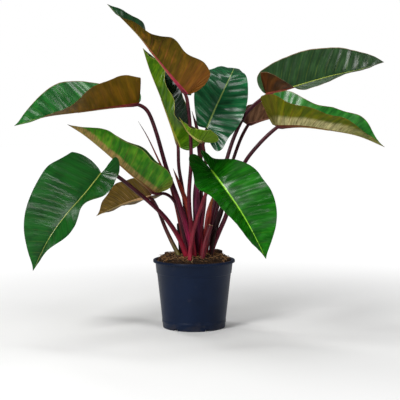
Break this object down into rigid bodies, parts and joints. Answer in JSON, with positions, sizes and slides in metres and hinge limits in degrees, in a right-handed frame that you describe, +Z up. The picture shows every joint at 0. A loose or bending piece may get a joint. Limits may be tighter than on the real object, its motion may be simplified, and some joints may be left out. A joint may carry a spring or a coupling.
{
  "type": "potted philodendron",
  "caption": "Philodendron house plant with large arrow-shaped leaves on dark red stalks, standing in soil in a round plastic nursery pot.",
  "frame": {"origin": "centre of the flat pad under the pot, on the surface that it stands on", "axes": "+Z up along the pot's axis, -Y towards the viewer of the picture, +X to that viewer's right, along the widest spread of the leaves"},
  "size_m": [1.0602, 0.5348, 0.927],
  "materials": {
    "pot_plastic": "satin dark navy polypropylene with a soft sheen",
    "soil": "rough brown bark and coconut fibre",
    "stalk": "smooth wine red stalk skin, satin",
    "blade": "glossy leathery green leaf, bronze underneath",
    "sheath": "papery satin red bud sheath"
  },
  "bodies": {
    "root": {"pot": "pot_plastic", "soil": "soil", "stalk_left_high": "stalk", "blade_left_high": "blade", "stalk_top": "stalk", "blade_top": "blade", "stalk_upright": "stalk", "blade_upright": "blade", "stalk_back": "stalk", "blade_back": "blade", "stalk_right_high": "stalk", "blade_right_high": "blade", "stalk_right_low": "stalk", "blade_right_low": "blade", "stalk_left_front": "stalk", "blade_left_front": "blade", "stalk_left_middle": "stalk", "blade_left_middle": "blade", "stalk_left_back": "stalk", "blade_left_back": "blade", "stalk_front": "stalk", "blade_front": "blade", "stalk_small": "stalk", "blade_small": "blade", "stalk_right_back": "stalk", "blade_right_back": "blade", "sheath_needle": "sheath", "sheath_orange": "sheath", "sheath_magenta": "sheath", "sheath_red": "sheath", "sheath_withered": "sheath", "sheath_maroon": "sheath", "stub_cut": "sheath", "stub_old": "sheath", "stub_dark": "sheath"}
  },
  "joints": []
}
